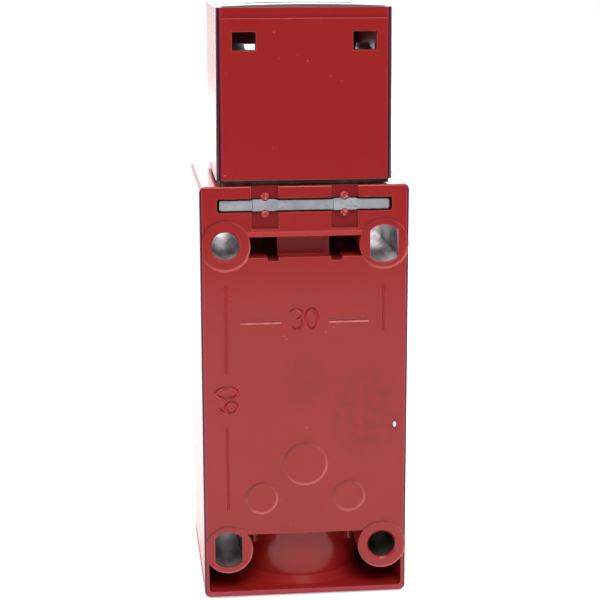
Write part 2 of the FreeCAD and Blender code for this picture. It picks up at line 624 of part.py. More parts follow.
def make_contact_metal():
    bridges, springs, strips, screws, clamps = [], [], [], [], []
    for pole in POLES:
        base = pole_up(pole)
        bridges.append(block(f"bridge_{pole}", ("-bridge_half", "bridge_half"),
                             (BRIDGE_REAR, BRIDGE_FRONT), (base, f"{base} + bridge_thick")))
        spring = coil(value("cage_half") / 3, value("spring_wire") * 0.7,
                      value("lift") - 2.2 * value("spring_wire") * 0.7, 3)
        spot = Vector(0, -value("turret_depth"), value(f"{base} - lift") + 1.1 * value("spring_wire") * 0.7)
        springs.append(shaped(f"bridge_spring_{pole}", spring, Placement(spot, Rotation())))
        strip_low = f"{base} + bridge_thick + strip_gap"
        strip_high = f"{strip_low} + strip_thick"
        for side in SIDES:
            name = f"{pole}_{'left' if side < 0 else 'right'}"
            reach = (("-strip_outer", "-strip_inner") if side < 0
                     else ("strip_inner", "strip_outer"))
            tab = (("-strip_outer", "-terminal_inner") if side < 0
                   else ("terminal_inner", "strip_outer"))
            centre = f"{side}*(strip_outer + terminal_inner)/2"
            up = terminal_up(pole)
            strips.append(carve(
                f"strip_{name}",
                join(f"strip_bent_{name}",
                     block(f"strip_flat_{name}", reach,
                           (BRIDGE_REAR, BRIDGE_FRONT), (strip_low, strip_high)),
                     block(f"strip_arm_{name}", tab, (BRIDGE_REAR, "terminal_face"),
                           (strip_low, strip_high)),
                     block(f"strip_tab_{name}", tab,
                           ("terminal_face - strip_thick", "terminal_face"),
                           (f"{up} - clamp_half", strip_high))),
                rod(f"strip_hole_{name}", "deep", (centre, BRIDGE_REAR, up),
                    "terminal_screw + slide_fit", "block_depth")))
            screws.append(join(
                f"terminal_screw_{name}",
                rod(f"terminal_shank_{name}", "deep", (centre, BRIDGE_REAR, up),
                    "terminal_screw", f"terminal_face + clamp_thick - ({BRIDGE_REAR})"),
                rod(f"terminal_head_{name}", "deep",
                    (centre, "terminal_face + clamp_thick", up),
                    "terminal_head", "terminal_head_high")))
            clamps.append(carve(
                f"clamp_{name}",
                block(f"clamp_plate_{name}", (f"{centre} - clamp_half", f"{centre} + clamp_half"),
                      ("terminal_face", "terminal_face + clamp_thick"),
                      (f"{up} - clamp_half", f"{up} + clamp_half")),
                rod(f"clamp_hole_{name}", "deep", (centre, BRIDGE_REAR, up),
                    "terminal_screw + slide_fit", "block_depth")))
    keep(group("bridges", bridges), "contact_bridges")
    keep(group("springs", springs), "bridge_springs")
    keep(group("strips", strips), "fixed_contacts")
    keep(group("terminal_heads", screws), "terminal_screws")
    keep(group("clamps", clamps), "terminal_clamps")


def make_block_fasteners():
    screws = []
    for across, up, name in (("-block_screw_across", "block_screw_high", "high"),
                             ("block_screw_across", "-block_screw_low", "low")):
        screws.append(join(
            f"block_screw_{name}",
            rod(f"block_shank_{name}", "deep", (across, "web_recess + web/2 + loose", up),
                "block_screw", "block_screw_seat - web_recess - web/2 - loose"),
            rod(f"block_head_{name}", "deep", (across, "block_screw_seat", up),
                "block_screw_head", "block_screw")))
    keep(group("block_fasteners", screws), "block_screws")

    spot = ("-earth_across", "earth_front + clamp_thick", "-earth_down")
    keep(join("earth_fastener",
              rod("earth_shank", "deep", ("-earth_across", "earth_front/2 + loose", "-earth_down"),
                  "earth_screw", "earth_front/2 + clamp_thick - loose"),
              rod("earth_head", "deep", spot, "earth_head", "earth_screw")), "earth_screw")
    keep(carve("earth_plate",
               rod("earth_disc", "deep", ("-earth_across", "earth_front", "-earth_down"),
                   "earth_washer", "clamp_thick"),
               rod("earth_disc_hole", "deep", ("-earth_across", "earth_front - past",
                                               "-earth_down"),
                   "earth_screw + slide_fit", "clamp_thick + 2*past")), "earth_clamp")

    wire = value("spring_wire")
    low, high = -value("cage_bottom"), -value("carrier_bottom")
    spring = coil(value("cage_half") * 0.7, wire, high - low - 2.2 * wire, 3)
    spot = Vector(0, -value("turret_depth"), low + 1.1 * wire)
    keep(shaped("carrier_return", spring, Placement(spot, Rotation())), "carrier_spring")


# ---------------------------------------------------------------- front cover

def make_cover():
    body = new_body("cover")
    add(body, "plate", XZ, "body_depth", "cover_depth", body_outline(FLARE))
    dress(body, "Fillet", "front_edge", "cover_round", at_depth("body_depth + cover_depth"))
    outside = "2*cover_notch + 4*cover_notch_corner"
    for side in SIDES:
        for end in SIDES:
            near = [f"{side}*(fix_across - cover_notch)", f"{side}*(fix_across + {outside})"]
            span = [f"{end}*(fix_up - cover_notch)", f"{end}*(fix_up + {outside})"]
            cut(body, f"notch_{'left' if side < 0 else 'right'}_{'low' if end < 0 else 'high'}",
                XZ, "body_depth - past", "cover_depth + 2*past",
                round_oblong(*near[::side], *span[::end], "cover_notch_corner"))
    cut(body, "hollow", XZ, "body_depth - past", "cover_depth - cover_wall + past",
        round_oblong("-cover_hollow_half", "cover_hollow_half", "-cover_hollow_high",
                     "cover_hollow_high", "chamber_corner"))
    cut(body, "gasket_groove", XZ, "body_depth - past", "gasket_thick + past",
        *gasket_outline("0"))
    spots = [(f"{side}*cover_screw_across", "cover_screw_up") for side in SIDES]
    spots.append(("0", "-cover_screw_down"))
    cut(body, "screw_ways", XZ, "body_depth - past", "cover_depth + 2*past",
        *[circle(*spot, "cover_screw_radius + loose") for spot in spots])
    cut(body, "screw_seats", XZ, "cover_seat", "cover_depth",
        *[circle(*spot, "cover_head_radius + loose") for spot in spots])
    keep(body, "cover")

    gasket = new_body("cover_gasket")
    add(gasket, "frame", XZ, "body_depth", "gasket_thick - slide_fit",
        *gasket_outline("slide_fit"))
    keep(gasket, "cover_gasket")

    screws, washers = [], []
    for index, (across, up) in enumerate(spots):
        seat = "cover_seat + washer"
        shank_start = "body_depth - cover_screw_in + loose"
        screws.append(carve(
            f"cover_screw_{index}",
            join(f"cover_screw_blank_{index}",
                 rod(f"cover_shank_{index}", "deep", (across, shank_start, up),
                     "cover_screw_radius", f"{seat} - ({shank_start})"),
                 rod(f"cover_head_{index}", "deep", (across, seat, up),
                     "cover_head_radius", "cover_head_high")),
            block(f"cover_drive_{index}", (f"{across} - cover_head_radius - past",
                                           f"{across} + cover_head_radius + past"),
                  (f"{seat} + cover_head_high/2", f"{seat} + cover_head_high + past"),
                  (f"{up} - washer*2/3", f"{up} + washer*2/3"))))
        washers.append(carve(
            f"washer_{index}",
            rod(f"washer_disc_{index}", "deep", (across, "cover_seat", up),
                "cover_head_radius", "washer"),
            rod(f"washer_hole_{index}", "deep", (across, "cover_seat - past", up),
                "cover_screw_radius + slide_fit", "washer + 2*past")))
    keep(group("cover_fasteners", screws), "cover_screws")
    keep(group("washers", washers), "screw_washers")


def gasket_outline(shrink):
    """The two edges of the gasket's frame, drawn in by a clearance on every side."""
    def edge(grow):
        half, low, high = (f"{name} + gasket_gap + {grow}"
                           for name in ("chamber_half", "chamber_bottom", "chamber_top"))
        return round_oblong(f"-({half})", half, f"-({low})", high, f"gasket_corner + {grow}")
    return [edge(f"gasket_width - {shrink}"), edge(shrink)]


# ---------------------------------------------------------------- turret head

def plate_outline(half, low, gap):
    """The bowed upper edge and straight flanks of the guide plate, seen from behind."""
    def draw(sketch):
        wide, seat, bow = value(half), value(f"plate_seat + {gap}"), value("plate_bow")
        foot = value(low)
        radius = (wide * wide + bow * bow) / (2 * bow)
        centre = Vector(0, seat + bow - radius, 0)
        sweep = math.asin(wide / radius)
        whole = Part.Circle(centre, Vector(0, 0, 1), radius)
        arc = sketch.addGeometry(Part.ArcOfCircle(whole, math.pi / 2 - sweep,
                                                  math.pi / 2 + sweep))
        corners = [Vector(-wide, seat, 0), Vector(-wide, foot, 0), Vector(wide, foot, 0),
                   Vector(wide, seat, 0)]
        sides = [sketch.addGeometry(Part.LineSegment(p, q))
                 for p, q in zip(corners, corners[1:])]
        for first, second in ((arc, sides[0]), (sides[0], sides[1]), (sides[1], sides[2])):
            sketch.addConstraint(Sketcher.Constraint("Coincident", first, 2, second, 1))
        sketch.addConstraint(Sketcher.Constraint("Coincident", sides[2], 2, arc, 1))
        pin_point(sketch, sides[0], 1, f"-({half})", f"plate_seat + {gap}")
        pin_point(sketch, sides[1], 1, f"-({half})", low)
        pin_point(sketch, sides[2], 1, half, low)
        pin_point(sketch, arc, 1, half, f"plate_seat + {gap}")
        index = sketch.addConstraint(Sketcher.Constraint("DistanceY", -1, 1, arc, 3,
                                                         centre.y) if centre.y >= 0 else
                                     Sketcher.Constraint("DistanceY", arc, 3, -1, 1,
                                                         -centre.y))
        level = (f"plate_seat + {gap} + plate_bow"
                 f" - (({half})^2 + plate_bow^2)/(2*plate_bow)")
        sketch.setExpression(f"Constraints[{index}]", bound(f"abs({level})"))
    return draw


def make_head_housing():
    body = new_body("head_housing")
    rear, front = "-head_rear", "-turret_depth - head_half"
    add(body, "shell", XY, "head_base", "head_high",
        round_oblong("-head_half", "head_half", front, rear, "head_corner"),
        taper="-head_draft")
    add(body, "panel", XZ, "head_rear - panel_proud", "2*panel_proud",
        oblong("-head_half + panel_inset", "head_half - panel_inset", "head_base", "panel_high"))
    cut(body, "cavity", XY, "head_base - past", "head_ceiling - head_base + past",
        round_oblong("-head_inner", "head_inner", "-turret_depth - head_inner",
                     "-turret_depth + head_inner", "head_corner"))
    add(body, "pillars", XY, "head_base + flange_thick", "pillar_high",
        *[circle(f"{a}*pillar_at", f"-turret_depth + {b}*pillar_at", "pillar")
          for a in SIDES for b in SIDES])
    cut(body, "pillar_bores", XY, "head_base + flange_thick - past", "pillar_high",
        *[circle(f"{a}*pillar_at", f"-turret_depth + {b}*pillar_at", "pillar_bore")
          for a in SIDES for b in SIDES])
    cut(body, "plate_seat_top", XZ, "plate_rear", "body_depth + cover_depth",
        oblong("-plate_half - plate_gap", "plate_half + plate_gap", "plate_seat",
               "head_top + past"))
    cut(body, "plate_seat_front", XZ, "turret_depth + head_half - plate_thick",
        "cover_depth",
        oblong("-plate_half - plate_gap", "plate_half + plate_gap", "plate_foot - plate_gap",
               "head_top + past"))
    middle = "turret_depth - tongue_offset"
    cut(body, "tongue_top", XY, "head_ceiling - past", "head_high",
        round_oblong("-tongue_half", "tongue_half", f"-({middle}) - tongue_gap/2",
                     f"-({middle}) + tongue_gap/2", "head_corner/2"))
    level = "rotor_up + tongue_offset"
    cut(body, "tongue_front", XZ, "turret_depth + head_inner - past", "head_half",
        round_oblong("-tongue_half", "tongue_half", f"{level} - tongue_gap/2",
                     f"{level} + tongue_gap/2", "head_corner/2"))
    cut(body, "peep_holes", XZ, "0", "turret_depth - head_inner + past",
        oblong("-peep_outer", "-peep_inner", "peep_low", "peep_high"),
        oblong("peep_inner", "peep_outer", "peep_low", "peep_high"))
    cut(body, "pin_seats", YZ, "-pin_half - slide_fit", "2*pin_half + 2*slide_fit",
        circle("-turret_depth", "rotor_up", "pin_radius + pin_fit"),
        circle("-lever_depth", "lever_up", "lever_pin + pin_fit"))
    cut(body, "rivet_holes", XZ, "turret_depth + head_half - 3*plate_thick", "cover_depth",
        *[circle(f"{side}*rivet_across", "rivet_up", "rivet_shank + slide_fit")
          for side in SIDES])
    return keep(body, "head_housing")


def make_guide_plate():
    body = new_body("guide_plate")
    front = "turret_depth + head_half"
    add(body, "top", XZ, "plate_rear + plate_gap", f"{front} - plate_rear - plate_gap",
        plate_outline("plate_half", "plate_seat - plate_thick", "plate_thick"))
    cut(body, "underside", XZ, "0", f"{front} - plate_thick",
        plate_outline("plate_half + past", "plate_seat - 2*plate_thick", "0"))
    add(body, "front", XZ, f"{front} - plate_thick", "plate_thick",
        oblong("-plate_half", "plate_half", "plate_foot", "plate_seat"))
    middle = "turret_depth - tongue_offset"
    cut(body, "slot_top", XY, "head_ceiling", "head_high",
        round_oblong("-tongue_half + loose", "tongue_half - loose",
                     f"-({middle}) - tongue_gap/2 + loose", f"-({middle}) + tongue_gap/2 - loose",
                     "head_corner/2"))
    level = "rotor_up + tongue_offset"
    cut(body, "slot_front", XZ, f"{front} - 2*plate_thick", "cover_depth",
        round_oblong("-tongue_half + loose", "tongue_half - loose",
                     f"{level} - tongue_gap/2 + loose", f"{level} + tongue_gap/2 - loose",
                     "head_corner/2"))
    cut(body, "rivet_holes", XZ, f"{front} - 2*plate_thick", "cover_depth",
        *[circle(f"{side}*rivet_across", "rivet_up", "rivet_shank + slide_fit")
          for side in SIDES])
    keep(body, "guide_plate")

    rivets = []
    for side in SIDES:
        across = f"{side}*rivet_across"
        rivets.append(join(
            f"rivet_{'left' if side < 0 else 'right'}",
            rod(f"rivet_shank_{side + 1}", "deep",
                (across, f"{front} - 3*plate_thick + slide_fit", "rivet_up"),
                "rivet_shank", "3*plate_thick"),
            rod(f"rivet_head_{side + 1}", "deep", (across, front, "rivet_up"),
                "rivet_head", "rivet_proud", far_radius="rivet_head*0.75")))
    keep(group("rivets", rivets), "guide_plate_rivets")


def make_turret_neck():
    body = new_body("turret_neck")
    turn(body, "spigot", XZ, "turret_depth",
         outline(("bush_radius", "spigot_end"), ("spigot", "spigot_end"),
                 ("spigot", "groove_low"), ("groove_radius", "groove_low"),
                 ("groove_radius", "groove_high"), ("spigot", "groove_high"),
                 ("spigot", "ring_low"), ("ring_groove", "ring_low"),
                 ("ring_groove", "ring_high"), ("spigot", "ring_high"),
                 ("spigot", "head_base + flange_thick/2"),
                 ("spring_well", "head_base + flange_thick/2"),
                 ("spring_well", "bush_top"), ("bush_radius", "bush_top")))
    add(body, "flange", XY, "head_base", "flange_thick",
        round_oblong("-flange_half", "flange_half", "-turret_depth - flange_half",
                     "-turret_depth + flange_half", "head_corner"),
        circle("0", "-turret_depth", "spring_well"))
    cut(body, "screw_holes", XY, "head_base - past", "flange_thick + 2*past",
        *[circle(f"{a}*pillar_at", f"-turret_depth + {b}*pillar_at", "neck_screw + loose")
          for a in SIDES for b in SIDES])
    dress(body, "Chamfer", "countersinks", "neck_head - neck_screw - loose/2",
          lambda edge: abs(edge.BoundBox.ZMax - value("head_base")) < 1e-4
          and hasattr(edge.Curve, "Radius")
          and abs(edge.Curve.Radius - value("neck_screw + loose")) < 1e-4)
    keep(body, "turret_neck")

    screws = []
    for a in SIDES:
        for b in SIDES:
            name = f"{a + 1}{b + 1}"
            across, depth = f"{a}*pillar_at", f"turret_depth + {b}*pillar_at"
            screws.append(join(
                f"neck_screw_{name}",
                rod(f"neck_head_{name}", "up", (across, depth, "head_base + slide_fit"),
                    "neck_head", "neck_head_high", far_radius="neck_screw"),
                rod(f"neck_shank_{name}", "up", (across, depth, "head_base + neck_head_high"),
                    "neck_screw", "neck_screw_length - neck_head_high")))
    keep(group("neck_fasteners", screws), "neck_screws")

    keep(carve("base_seal",
               block("base_seal_plate", ("-seal_half", "seal_half"),
                     ("turret_depth - seal_half", "turret_depth + seal_half"),
                     ("head_base - seal_thick", "head_base")),
               rod("base_seal_hole", "up", ("0", "turret_depth", "head_base - 2*past"),
                   "seal_hole", "3*past")), "head_base_gasket")

    ring = doc.addObject("Part::Torus", "neck_seal_ring")
    bind(ring, "Radius1", "(ring_groove + seat_bore)/2 - ring_wire/20")
    bind(ring, "Radius2", "ring_wire")
    keep(place(ring, "0", "turret_depth", "(ring_low + ring_high)/2"), "neck_o_ring")

    keep(carve("bush",
               rod("bush_outside", "up", ("0", "turret_depth", "spigot_end"),
                   "bush_radius - pin_fit", "bush_top - spigot_end"),
               rod("bush_bore", "up", ("0", "turret_depth", "spigot_end - past"),
                   "plunger_bore", "bush_top - spigot_end + 2*past")), "plunger_bush")


def make_plunger():
    top = value("rotor_up - rotor_radius - plunger_gap")
    stem = rod("plunger_stem", "up", ("0", "turret_depth", "plunger_foot"),
               "plunger_radius", "collar_high - plunger_foot")
    collar = rod("plunger_collar", "up", ("0", "turret_depth", "collar_high - collar_thick"),
                 "collar", "collar_thick")
    tip = doc.addObject("Part::Sphere", "plunger_nose")
    bind(tip, "Radius", "nose")
    place(tip, "0", "turret_depth", "rotor_up - rotor_radius - plunger_gap - nose")
    keep(join("plunger_whole", stem, collar, tip), "plunger")

    wire, low = value("spring_wire"), value("bush_top")
    high = value("collar_high - collar_thick")
    spring = coil(value("spring_mean"), wire, high - low - 2.2 * wire, value("spring_turns"))
    spot = Vector(0, -value("turret_depth"), low + 1.1 * wire)
    keep(shaped("plunger_return", spring, Placement(spot, Rotation())), "plunger_spring")


def make_rotor():
    """The cam drum: a cylinder with a spiral relief over the plunger and two tongue notches."""
    radius, half = value("rotor_radius"), value("rotor_half")
    slope = value("lift") / value("turn")

    def spot(angle, reach):
        a = math.radians(angle)
        return Vector(-half, reach * math.sin(a), -reach * math.cos(a))

    lead, end, stop = (value(f"relief_{name}") for name in ("lead", "end", "stop"))
    deepest = radius - slope * (end + lead)
    steps = [-lead + (end + lead) * i / 8 for i in range(9)]
    spiral = Part.BSplineCurve()
    spiral.interpolate([spot(a, radius - slope * (a + lead)) for a in steps])
    hollow = Part.Arc(spot(end, deepest), spot((end + stop) / 2, deepest), spot(stop, deepest))
    wall = Part.LineSegment(spot(stop, deepest), spot(stop, radius))
    middle = (stop + 360 - lead) / 2
    around = Part.Arc(spot(stop, radius), spot(middle, radius), spot(360 - lead, radius))
    edges = [curve.toShape() for curve in (spiral, hollow, wall, around)]
    drum = Part.Face(Part.Wire(edges)).extrude(Vector(2 * half, 0, 0))
    reach, shoulder = value("notch_reach"), value("notch_shoulder")
    past = value("past")
    rear_notch = Part.makeBox(2 * half + 2 * past, radius, radius,
                              Vector(-half - past, reach, shoulder))
    front_notch = Part.makeBox(2 * half + 2 * past, radius, radius,
                               Vector(-half - past, -shoulder - radius, reach))
    bore = Part.makeCylinder(value("pin_radius + pin_fit"), 2 * half + 2 * past,
                             Vector(-half - past, 0, 0), Vector(1, 0, 0))
    drum = drum.cut([rear_notch, front_notch, bore])
    centre = Placement(Vector(0, -value("turret_depth"), value("rotor_up")), Rotation())
    keep(shaped("drum", drum, centre), "rotor_drum")

    discs = []
    for side in SIDES:
        name = "left" if side < 0 else "right"
        start = "-rotor_half - disc_thick" if side < 0 else "rotor_half"
        span = (start, f"{start} + disc_thick")
        discs.append(carve(
            f"disc_{name}",
            rod(f"disc_round_{name}", "across", (start, "turret_depth", "rotor_up"),
                "disc_radius", "disc_thick"),
            rod(f"disc_bore_{name}", "across", (f"{start} - past", "turret_depth", "rotor_up"),
                "pin_radius + pin_fit", "disc_thick + 2*past"),
            block(f"disc_notch_{name}", span,
                  ("turret_depth - rotor_radius", "turret_depth - notch_reach"),
                  ("rotor_up + notch_shoulder", "rotor_up + rotor_radius")),
            block(f"disc_front_{name}", span,
                  ("turret_depth + notch_shoulder", "turret_depth + rotor_radius"),
                  ("rotor_up + notch_reach", "rotor_up + rotor_radius"))))
    keep(group("discs", discs), "rotor_discs")
    keep(rod("rotor_axle", "across", ("-pin_half", "turret_depth", "rotor_up"),
             "pin_radius", "2*pin_half"), "rotor_pin")


def make_levers():
    springs = []
    for side in SIDES:
        name = "left" if side < 0 else "right"
        offset = "-lever_inner - lever_thick" if side < 0 else "lever_inner"
        body = new_body(f"latch_lever_{name}")
        knee, foot = "-lever_depth", "lever_up - lever_arm"
        add(body, "knuckle", YZ, offset, "lever_thick", circle(knee, "lever_up", "knuckle"))
        add(body, "arm", YZ, offset, "lever_thick",
            outline((f"{knee} - arm_half", "lever_up"),
                    (f"{knee} - lever_lean - arm_half", foot),
                    (f"{knee} - lever_lean + arm_half", foot),
                    (f"{knee} + arm_half", "lever_up")))
        add(body, "hook", YZ, offset, "lever_thick",
            circle(f"{knee} - lever_lean - arm_half/2", foot, "arm_half*1.5"))
        add(body, "finger", YZ, offset, "lever_thick",
            outline((f"{knee} + arm_half/2", "lever_up + arm_half"),
                    (f"{knee} - arm_half", "lever_up - arm_half"),
                    (f"{knee} - finger_out", "lever_up + finger_rise - arm_half/2"),
                    (f"{knee} - finger_out + arm_half", "lever_up + finger_rise + arm_half/2")))
        cut(body, "pin_way", YZ, f"{offset} - past", "lever_thick + 2*past",
            circle(knee, "lever_up", "lever_pin + pin_fit"))
        keep(body, f"latch_lever_{name}")

        wire = value("lever_spring_wire")
        wall = value("turret_depth - head_inner")
        arm = value("lever_depth + lever_lean*lever_spring_drop/lever_arm - arm_half")
        spring = coil(value("lever_spring_mean"), wire, arm - wall - 2.4 * wire, 3)
        spot = Vector(value(f"{offset} + lever_thick/2"), -wall - 1.2 * wire,
                      value("lever_up - lever_spring_drop"))
        springs.append(shaped(f"lever_spring_{name}", spring,
                              Placement(spot, DIRECTIONS["deep"])))
    keep(group("lever_coils", springs), "lever_springs")
    keep(rod("lever_axle", "across", ("-pin_half", "lever_depth", "lever_up"),
             "lever_pin", "2*pin_half"), "lever_pin")


# ---------------------------------------------------------------- making and writing

def check(document):
    """Stops the build if a feature failed, cut nothing, or left a bad solid."""
    for thing in document.Objects:
        if {"Invalid", "Error"} & set(thing.State):
            raise RuntimeError(f"{thing.Name} failed: {thing.State}")
    for feature, sign in shaping:
        if feature.BaseFeature:
            change = feature.Shape.Volume - feature.BaseFeature.Shape.Volume
            if change * sign <= 0:
                raise RuntimeError(f"{feature.Name} changed nothing")
    for node in nodes:
        if node.Shape.isNull() or not node.Shape.isValid():
            raise RuntimeError(f"{node.Label} is not a valid solid")


def write(folder):
    os.makedirs(folder, exist_ok=True)
    for node in nodes:
        node.Shape.exportStep(os.path.join(folder, f"{node.Label}.step"))
        print(f"{node.Label}: {len(node.Shape.Solids)} solids, {node.Shape.Volume:.1f} mm3")


make_housing()
make_retaining_fork()
make_contact_block()
make_carrier()
make_contact_metal()
make_block_fasteners()
make_cover()
make_head_housing()
make_guide_plate()
make_turret_neck()
make_plunger()
make_rotor()
make_levers()
doc.recompute()
check(doc)
write("parts")
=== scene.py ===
"""Looks of a tongue interlock switch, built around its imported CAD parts.

Metres throughout, in the CAD's own frame: +Z towards the turret head, +Y out of the mounting
side, and +X to the left when the mounting side is looked at with the head up.
"""

import math

import bpy
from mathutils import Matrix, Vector


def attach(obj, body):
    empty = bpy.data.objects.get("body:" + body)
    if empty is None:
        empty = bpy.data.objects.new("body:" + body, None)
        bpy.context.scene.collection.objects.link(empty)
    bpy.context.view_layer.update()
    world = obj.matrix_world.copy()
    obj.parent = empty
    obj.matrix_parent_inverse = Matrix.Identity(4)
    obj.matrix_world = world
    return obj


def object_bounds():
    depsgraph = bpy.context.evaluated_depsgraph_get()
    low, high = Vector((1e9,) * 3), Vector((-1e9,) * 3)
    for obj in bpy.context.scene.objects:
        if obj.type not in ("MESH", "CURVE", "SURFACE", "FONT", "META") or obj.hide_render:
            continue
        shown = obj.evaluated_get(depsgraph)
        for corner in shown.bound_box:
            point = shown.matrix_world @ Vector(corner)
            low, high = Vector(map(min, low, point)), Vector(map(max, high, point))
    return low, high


MM = 0.001

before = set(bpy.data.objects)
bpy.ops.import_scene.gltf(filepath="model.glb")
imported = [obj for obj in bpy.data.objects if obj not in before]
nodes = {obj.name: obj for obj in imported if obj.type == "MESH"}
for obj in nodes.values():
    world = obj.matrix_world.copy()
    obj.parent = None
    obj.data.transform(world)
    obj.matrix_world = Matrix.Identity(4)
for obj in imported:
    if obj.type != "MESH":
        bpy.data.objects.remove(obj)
cad_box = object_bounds()

# ---------------------------------------------------------------- sizes that the CAD also has

WEB = -0.25 * MM              # the mounting side's flat, behind the rims of the fixing holes
FIX_ACROSS, FIX_UP = 15 * MM, 30 * MM
FIX_REACH = 3.9 * MM          # past the widest fixing hole, short of its rim's edge
CHAMFER_FOOT = -0.85 * MM     # bare metal starts below the holes' painted chamfers
CORNER_FOOT = -1.4 * MM       # how far the painted reflections on the mounting side's corners and edges reach
BODY_REFLECTION_EDGE, HEAD_REFLECTION_EDGE = 19.0 * MM, 15.2 * MM     # where the painted reflections on their outside corners start
STAKE_ACROSS, STAKE_UPS, STAKE_RADIUS = 7.5 * MM, (39.2 * MM, 36.05 * MM), 0.7 * MM
RECESS_FOOT, RECESS_ACROSS, RECESS_LOW = -4.0 * MM, 11.2 * MM, 32.9 * MM
RAIL_LOW, RAIL_HIGH, RAIL_ACROSS = 31.7 * MM, 32.8 * MM, 10.6 * MM    # over the window
LIP_UP = -38.7 * MM           # top of the lower pocket's front edge
BOSS_FOOT = -36.6 * MM        # where the cable entry's boss starts to widen
SIDES = (1, -1)
CAST_RINGS = (                # middle and radius
    ((0, -13.0 * MM), 4.15 * MM),
    *(((side * 8.5 * MM, -19.7 * MM), 3.0 * MM) for side in SIDES),
    *(((side * FIX_ACROSS, end * FIX_UP), 4.7 * MM) for end in SIDES for side in SIDES))

# ---------------------------------------------------------------- scuffs, and painted light and shade, on the mounting side

RING_LINE = 0.38 * MM         # half the width of the painted light and shade line on a cast ring's rim
RING_SHADE_SIDE = (0.5, 0, 0.87)
SMUDGES = (((-11.6 * MM, 0, -3.4 * MM), 4.2 * MM, 5 * MM),      # centre, reach and fading
           ((0.2 * MM, 0, 3.4 * MM), 1.8 * MM, 4 * MM))
CHIP_PLACE = (-17.36 * MM, WEB, -5.57 * MM)
CHIP_RIM, CHIP_BARE, CHIP_FADE = 0.5 * MM, 0.26 * MM, 0.1 * MM


# ---------------------------------------------------------------- materials

def linear(colour):
    """An sRGB colour in 0 to 255 as the linear colour that a socket holds."""
    parts = [c / 255 for c in colour]
    return tuple(p / 12.92 if p <= 0.04045 else ((p + 0.055) / 1.055) ** 2.4
                 for p in parts) + (1,)


class Finish:
    """A Principled material, with short calls for the nodes that give it its detail."""

    def __init__(self, name, colour, **sockets):
        self.material = bpy.data.materials.new(name)
        self.material.use_nodes = True
        self.tree = self.material.node_tree
        self.shader = self.tree.nodes["Principled BSDF"]
        self.shader.inputs["Base Color"].default_value = linear(colour)
        for socket, value in sockets.items():
            self.shader.inputs[socket.replace("_", " ").title().replace("Ior", "IOR")
                               ].default_value = value
        self.place = self.add("TexCoord").outputs["Object"]
        self.normal = None

    def add(self, kind, links=(), **values):
        """A new node with its properties set, and what feeds its sockets."""
        node = self.tree.nodes.new(f"ShaderNode{kind}")
        for prop, value in values.items():
            setattr(node, prop, value)
        for socket, feed in dict(links).items():
            if isinstance(feed, bpy.types.NodeSocket):
                self.tree.links.new(feed, node.inputs[socket])
            else:
                node.inputs[socket].default_value = feed
        return node

    def feed(self, socket, source):
        self.tree.links.new(source, self.shader.inputs[socket])

    def noise(self, size, detail=2.0, stretch=(1, 1, 1), shift=(0, 0, 0)):
        """Noise whose blotches are about this size in metres, stretched along the axes."""
        scaled = self.add("Mapping", {"Vector": self.place, "Location": shift,
                                      "Scale": tuple(1 / s for s in stretch)})
        return self.add("TexNoise", {"Vector": scaled.outputs[0], "Scale": 0.5 / size,
                                     "Detail": detail}).outputs["Fac"]

    def math(self, operation, first, second=0.0):
        return self.add("Math", {0: first, 1: second}, operation=operation,
                        use_clamp=True).outputs[0]

    def product(self, first, *others):
        """Masks and shares multiplied together."""
        for other in others:
            first = self.math("MULTIPLY", first, other)
        return first

    def step(self, value, low, high):
        """0 below low and 1 above high, or the other way round where high is the lower."""
        return self.add("MapRange", {"Value": value, "From Min": low, "From Max": high},
                        interpolation_type="SMOOTHSTEP").outputs["Result"]

    def blend(self, amount, first, second):
        """A colour that goes from first to second; either is a colour or a socket."""
        node = self.add("Mix", data_type="RGBA")
        for socket, feed in ((node.inputs[0], amount), (node.inputs[6], first),
                             (node.inputs[7], second)):
            if isinstance(feed, bpy.types.NodeSocket):
                self.tree.links.new(feed, socket)
            else:
                socket.default_value = feed
        return node.outputs[2]

    def stain(self, tone, colour, *masks):
        """The tone with an sRGB colour laid over it, as far as all the masks let it."""
        return self.blend(self.product(*masks), tone, linear(colour))

    def level(self, amount, low, high):
        """A number that goes from low to high with amount."""
        return self.add("MapRange", {"Value": amount, "To Min": low, "To Max": high}
                        ).outputs["Result"]

    def bump(self, height, depth):
        """Raises the surface by up to depth where height is 1, on top of earlier bumps."""
        links = {"Height": height, "Distance": depth}
        if self.normal:
            links["Normal"] = self.normal
        self.normal = self.add("Bump", links).outputs["Normal"]
        self.feed("Normal", self.normal)

    def soften(self, radius):
        """Rounds the sharp edges a little, as a thick coat or tumbling does."""
        self.normal = self.add("Bevel", {"Radius": radius}, samples=6).outputs["Normal"]
        self.feed("Normal", self.normal)

    def edges(self, radius):
        """1 on the sharp edges and 0 on the flats."""
        rounded = self.add("Bevel", {"Radius": radius}, samples=6).outputs["Normal"]
        flat = self.add("NewGeometry").outputs["Normal"]
        same = self.add("VectorMath", {0: rounded, 1: flat},
                        operation="DOT_PRODUCT").outputs["Value"]
        return self.step(same, 0.98, 0.75)

    def near(self, centre, reach, soft, flatten=(1, 1, 1), place=None):
        """1 within reach of a point, going to 0 over the soft distance outside it."""
        away = self.add("VectorMath", {0: place or self.place, 1: centre},
                        operation="SUBTRACT")
        scaled = self.add("VectorMath", {0: away.outputs[0], 1: flatten}, operation="MULTIPLY")
        far = self.add("VectorMath", {0: scaled.outputs[0]}, operation="LENGTH")
        return self.step(far.outputs["Value"], reach + soft, reach)

    def axis(self, letter):
        return self.add("SeparateXYZ", {0: self.place}).outputs[letter]

    def vector(self, operation, first, second=(0, 0, 0)):
        return self.add("VectorMath", {0: first, 1: second}, operation=operation).outputs[0]

    def length(self, vector):
        return self.add("VectorMath", {0: vector}, operation="LENGTH").outputs["Value"]

    def past(self, letter, start, fade):
        """0 up to start along an axis and 1 beyond the fade, which may run downwards."""
        return self.step(self.axis(letter), start, start + fade)


